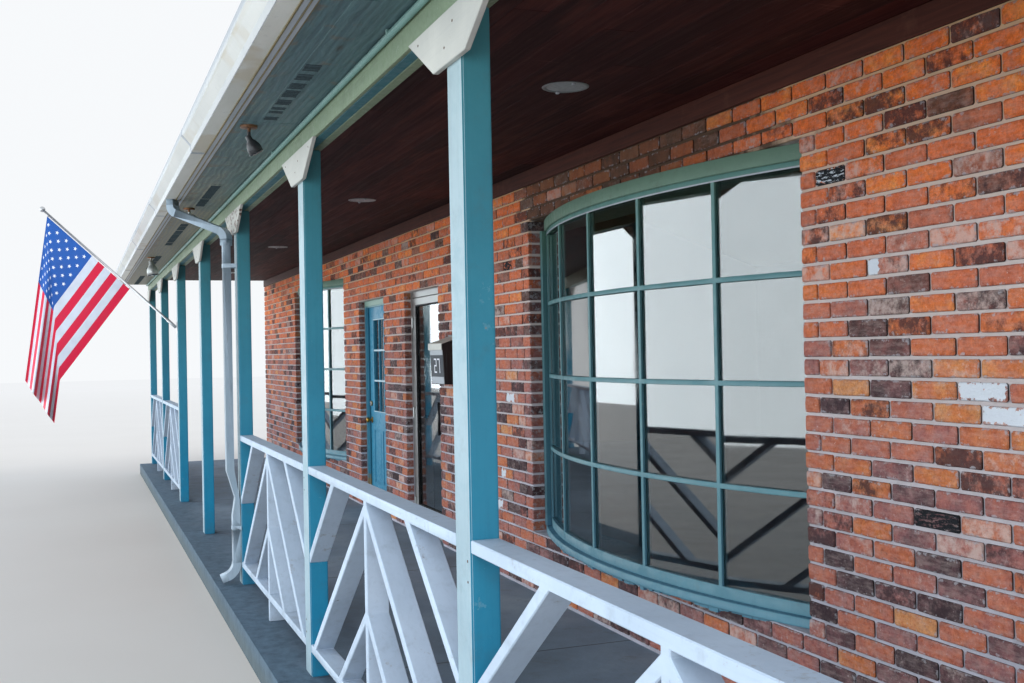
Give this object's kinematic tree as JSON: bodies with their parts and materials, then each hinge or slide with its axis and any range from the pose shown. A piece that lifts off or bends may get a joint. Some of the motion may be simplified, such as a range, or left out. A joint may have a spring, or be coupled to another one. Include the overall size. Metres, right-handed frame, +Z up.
{
  "type": "single-storey brick shop building with covered porch",
  "caption": "Single-storey brick shop with a covered porch on teal posts, white chevron railings, bow windows, two doors, a gable roof and a flag on a staff.",
  "frame": {"origin": "on the ground under the middle of the enclosed shop, half way between the front and back wall faces", "axes": "+X along the front towards the near end in the picture, -Y out of the front towards the street, +Z up"},
  "size_m": [17.3688, 12.754, 4.9051],
  "materials": {
    "concrete": "rough",
    "brick": "rough",
    "shingles": "rough",
    "stained_boards": "satin",
    "trim_brown": "satin",
    "beam_paint": "painted",
    "green_paint": "painted",
    "teal_paint": "painted",
    "white_paint": "painted",
    "soffit_metal": "weathered",
    "white_metal": "satin",
    "window_paint": "painted",
    "clear_glass": "clear",
    "brass": "worn",
    "aluminium": "satin",
    "black_metal": "satin",
    "lamp_metal": "satin",
    "conduit_paint": "weathered",
    "staff_metal": "polished",
    "flag_cloth": "woven"
  },
  "bodies": {
    "building": {"floor_slab": "concrete", "porch_slab": "concrete", "front_walls": "brick", "window_aprons": "brick", "door_headers": "brick", "front_wall_top": "brick", "side_wall_far": "brick", "side_wall_near": "brick", "back_wall": "brick", "roof_front": "shingles", "roof_rear": "shingles", "porch_ceiling": "stained_boards", "ceiling_trim": "trim_brown", "porch_beam": "beam_paint", "beam_boards": "green_paint", "posts": "teal_paint", "post_gussets": "white_paint", "soffits": "soffit_metal", "fascias": "white_paint", "gutters": "white_metal", "downspout": "white_metal", "porch_gables": "white_paint", "railing_1": "white_paint", "railing_2": "white_paint", "railing_3": "white_paint", "railing_4": "white_paint", "railing_5": "white_paint", "window_1_frame": "window_paint", "window_2_frame": "window_paint", "window_glass": "clear_glass", "window_seats": "window_paint", "window_heads": "window_paint", "rear_window_frames": "window_paint", "rear_window_glass": "clear_glass", "door_1_frame": "teal_paint", "door_2_frame": "aluminium", "mailbox": "black_metal", "ceiling_lights": "lamp_metal", "flood_lights": "lamp_metal", "conduit": "conduit_paint", "flag_pole": "staff_metal", "flag": "flag_cloth"},
    "door_1": {"door_1_leaf": "teal_paint", "door_1_glass": "clear_glass", "door_1_knobs": "brass"},
    "door_2": {"door_2_leaf": "aluminium", "door_2_glass": "clear_glass", "door_2_pull": "black_metal"},
    "letter_lid": {"mailbox_lid": "black_metal"}
  },
  "joints": [
    {"name": "door_1_hinge", "type": "hinge", "parent": "building", "child": "door_1", "pos_m": [-1.3935, -4.359, 0.2], "axis": [0, 0, -1], "range_deg": [0, 90]},
    {"name": "door_2_hinge", "type": "hinge", "parent": "building", "child": "door_2", "pos_m": [-0.5565, -4.449, 0.2], "axis": [0, 0, -1], "range_deg": [0, 90]},
    {"name": "lid_hinge", "type": "hinge", "parent": "building", "child": "letter_lid", "pos_m": [0.821, -4.514, 1.8355], "axis": [-1, 0, 0], "range_deg": [0, 75]}
  ]
}
